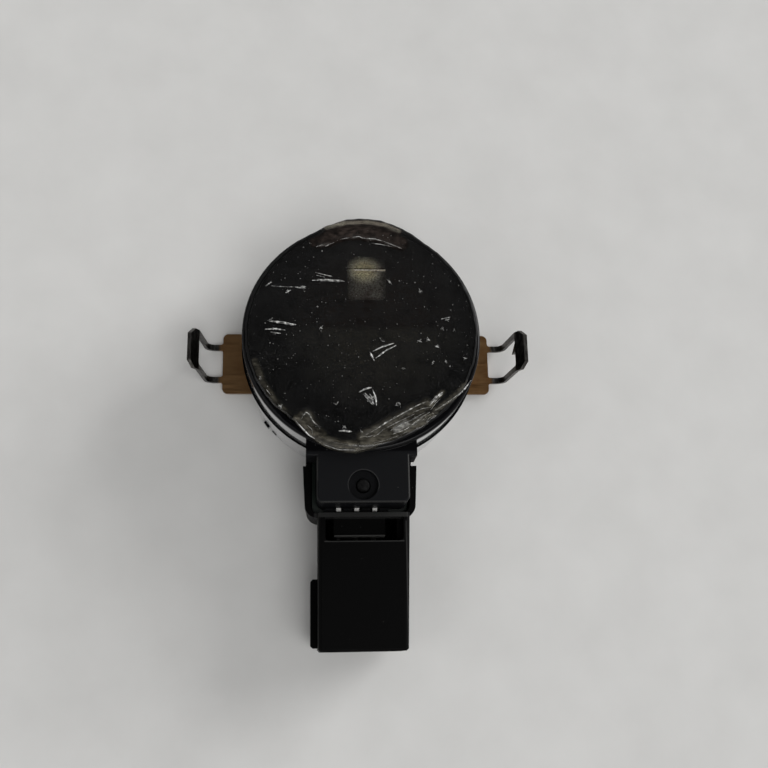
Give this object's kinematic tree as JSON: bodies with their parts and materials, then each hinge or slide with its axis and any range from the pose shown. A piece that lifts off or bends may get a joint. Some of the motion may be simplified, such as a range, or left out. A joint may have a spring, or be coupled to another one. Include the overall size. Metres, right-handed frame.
{
  "type": "rain sensor",
  "caption": "Round windscreen rain and light sensor with a gel pad over its lens, a neck with a keyed plug socket, and a spring strap with a loop at each end.",
  "frame": {"origin": "on the axis of the round head, in the plane that the sensor's back rests on, at the middle of the spring strap", "axes": "+Z out through the lens and the gel pad, +Y away from the connector, +X to the right with the connector towards the viewer"},
  "size_m": [0.0498, 0.0599, 0.0166],
  "materials": {
    "clear_gel": "clear, soft and scratched",
    "dark_lens": "polished, clear to infrared light only",
    "milky_guide": "milky",
    "gloss_black": "gloss",
    "matte_black": "satin",
    "spring_steel": "dull, tarnished brown on the flats",
    "board_green": "solder mask",
    "chip_black": "moulded",
    "ceramic": "ceramic",
    "tantalum": "moulded",
    "smoke_clear": "clear resin",
    "tinned_brass": "tinned"
  },
  "bodies": {
    "root": {"gel_pad": "clear_gel", "lens_plate": "dark_lens", "light_window": "milky_guide", "upper_housing": "gloss_black", "lower_housing": "matte_black", "spring_strap": "spring_steel", "circuit_board": "board_green", "light_shield": "matte_black", "ambient_light_sensor": "chip_black", "control_chip": "chip_black", "voltage_regulator": "chip_black", "clock_resonator": "ceramic", "protection_diode": "chip_black", "filter_capacitor_1": "tantalum", "filter_capacitor_2": "ceramic", "filter_capacitor_3": "ceramic", "infrared_emitter_1": "smoke_clear", "infrared_emitter_2": "smoke_clear", "infrared_receiver_1": "chip_black", "infrared_receiver_2": "chip_black", "contact_pin_1": "tinned_brass", "contact_pin_2": "tinned_brass", "contact_pin_3": "tinned_brass"}
  },
  "joints": []
}
